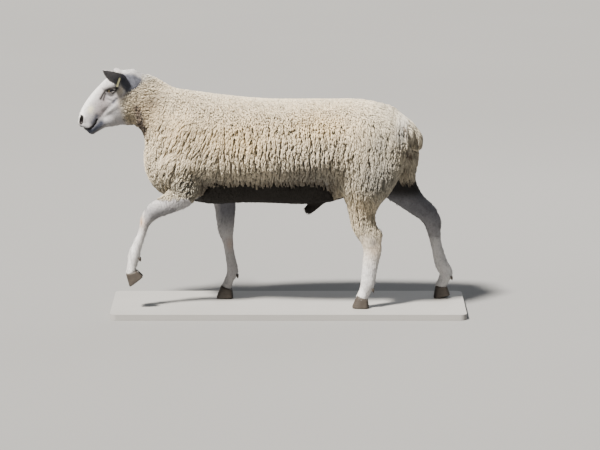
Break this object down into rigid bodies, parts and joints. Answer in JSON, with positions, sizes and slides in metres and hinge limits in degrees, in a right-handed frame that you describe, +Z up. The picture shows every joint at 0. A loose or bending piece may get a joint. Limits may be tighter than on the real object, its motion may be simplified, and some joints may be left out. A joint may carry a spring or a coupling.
{
  "type": "walking sheep",
  "caption": "Life-size still model of a white-faced, hornless sheep in medium fleece, walking, on a flat display base.",
  "frame": {"origin": "middle of the underside of the display base's footprint and of the whole model's bounding box", "axes": "+Z up, the sheep looks towards -X, its left side faces -Y"},
  "size_m": [1.3507, 0.43, 0.8605],
  "materials": {
    "fleece": "curly cream wool, matt",
    "hair": "short white hair over pinkish skin, matt",
    "dark_hair": "dark damp hair",
    "hoof_horn": "dull grey-brown horn",
    "eye": "wet amber eye with a dark level pupil",
    "tag": "pale yellow-green plastic, blank",
    "base": "pale matt painted board"
  },
  "bodies": {
    "root": {"trunk_shoulders": "fleece", "trunk_barrel": "fleece", "trunk_rump": "fleece", "tail": "fleece", "neck": "fleece", "head": "hair", "lower_jaw": "hair", "ear_left": "hair", "ear_right": "hair", "sheath": "dark_hair", "fore_left_forearm": "hair", "fore_left_cannon": "hair", "fore_left_pastern": "hair", "fore_left_hoof_outer": "hoof_horn", "fore_left_hoof_inner": "hoof_horn", "fore_right_forearm": "hair", "fore_right_cannon": "hair", "fore_right_pastern": "hair", "fore_right_hoof_outer": "hoof_horn", "fore_right_hoof_inner": "hoof_horn", "hind_left_thigh": "fleece", "hind_left_cannon": "hair", "hind_left_pastern": "hair", "hind_left_hoof_outer": "hoof_horn", "hind_left_hoof_inner": "hoof_horn", "hind_right_thigh": "fleece", "hind_right_cannon": "hair", "hind_right_pastern": "hair", "hind_right_hoof_outer": "hoof_horn", "hind_right_hoof_inner": "hoof_horn", "eye_left": "eye", "eye_right": "eye", "ear_tag": "tag", "stand_base": "base"}
  },
  "joints": []
}
